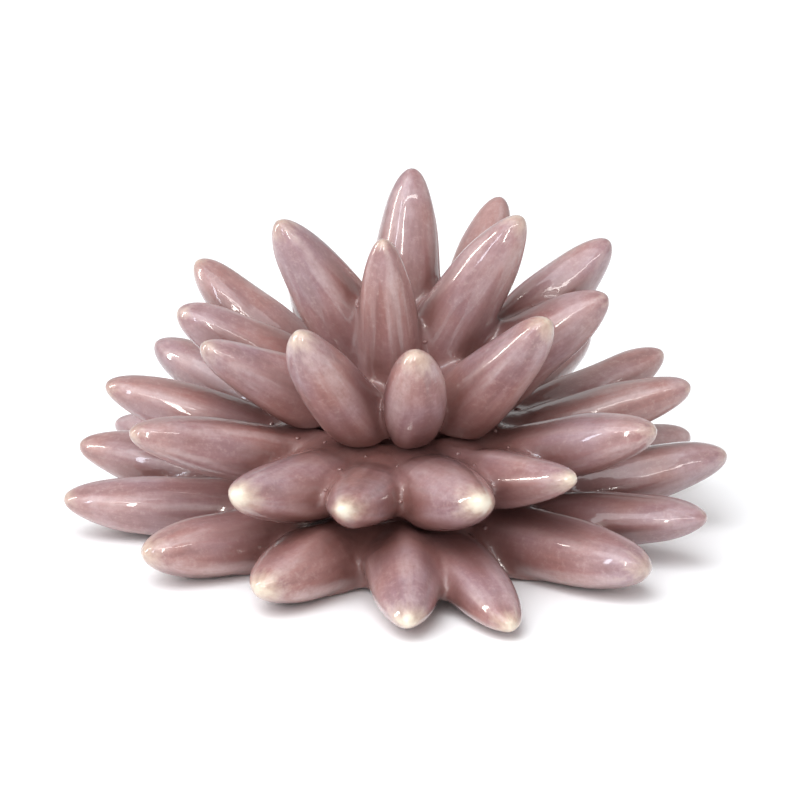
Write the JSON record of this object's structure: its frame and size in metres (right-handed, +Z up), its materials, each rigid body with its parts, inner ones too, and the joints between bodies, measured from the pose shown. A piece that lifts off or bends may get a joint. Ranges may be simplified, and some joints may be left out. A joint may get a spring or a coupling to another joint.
{
  "type": "flower frog",
  "caption": "Glazed ceramic flower frog: tiers of hand-rolled clay fingers on a hollow domed core, which hold cut stems upright in the notches between them",
  "frame": {"origin": "middle of the foot on the surface it stands on, at the centre of the overall footprint", "axes": "+Z up, -Y the front, +X the front's right-hand side"},
  "size_m": [0.1512, 0.1495, 0.0804],
  "materials": {
    "core_clay": "bare fired stoneware, matte",
    "base_glaze": "glossy mauve glaze, breaking to cream at the tips",
    "middle_glaze": "glossy mauve glaze, breaking to cream at the tips",
    "upper_glaze": "glossy mauve glaze, breaking to cream at the tips",
    "crown_glaze": "glossy mauve glaze, breaking to cream at the tips"
  },
  "bodies": {
    "root": {"core_dome": "core_clay", "base_ring": "base_glaze", "base_finger_01": "base_glaze", "base_finger_02": "base_glaze", "base_finger_03": "base_glaze", "base_finger_04": "base_glaze", "base_finger_05": "base_glaze", "base_finger_06": "base_glaze", "base_finger_07": "base_glaze", "base_finger_08": "base_glaze", "base_finger_09": "base_glaze", "base_finger_10": "base_glaze", "base_finger_11": "base_glaze", "base_finger_12": "base_glaze", "base_finger_13": "base_glaze", "base_finger_14": "base_glaze", "base_finger_15": "base_glaze", "middle_ring": "middle_glaze", "middle_finger_01": "middle_glaze", "middle_finger_02": "middle_glaze", "middle_finger_03": "middle_glaze", "middle_finger_04": "middle_glaze", "middle_finger_05": "middle_glaze", "middle_finger_06": "middle_glaze", "middle_finger_07": "middle_glaze", "middle_finger_08": "middle_glaze", "middle_finger_09": "middle_glaze", "middle_finger_10": "middle_glaze", "middle_finger_11": "middle_glaze", "middle_finger_12": "middle_glaze", "middle_finger_13": "middle_glaze", "middle_finger_14": "middle_glaze", "upper_ring": "upper_glaze", "upper_finger_01": "upper_glaze", "upper_finger_02": "upper_glaze", "upper_finger_03": "upper_glaze", "upper_finger_04": "upper_glaze", "upper_finger_05": "upper_glaze", "upper_finger_06": "upper_glaze", "upper_finger_07": "upper_glaze", "upper_finger_08": "upper_glaze", "upper_finger_09": "upper_glaze", "upper_finger_10": "upper_glaze", "upper_finger_11": "upper_glaze", "upper_finger_12": "upper_glaze", "crown_hub": "crown_glaze", "crown_finger_01": "crown_glaze", "crown_finger_02": "crown_glaze", "crown_finger_03": "crown_glaze", "crown_finger_04": "crown_glaze", "crown_finger_05": "crown_glaze", "crown_finger_06": "crown_glaze"}
  },
  "joints": []
}
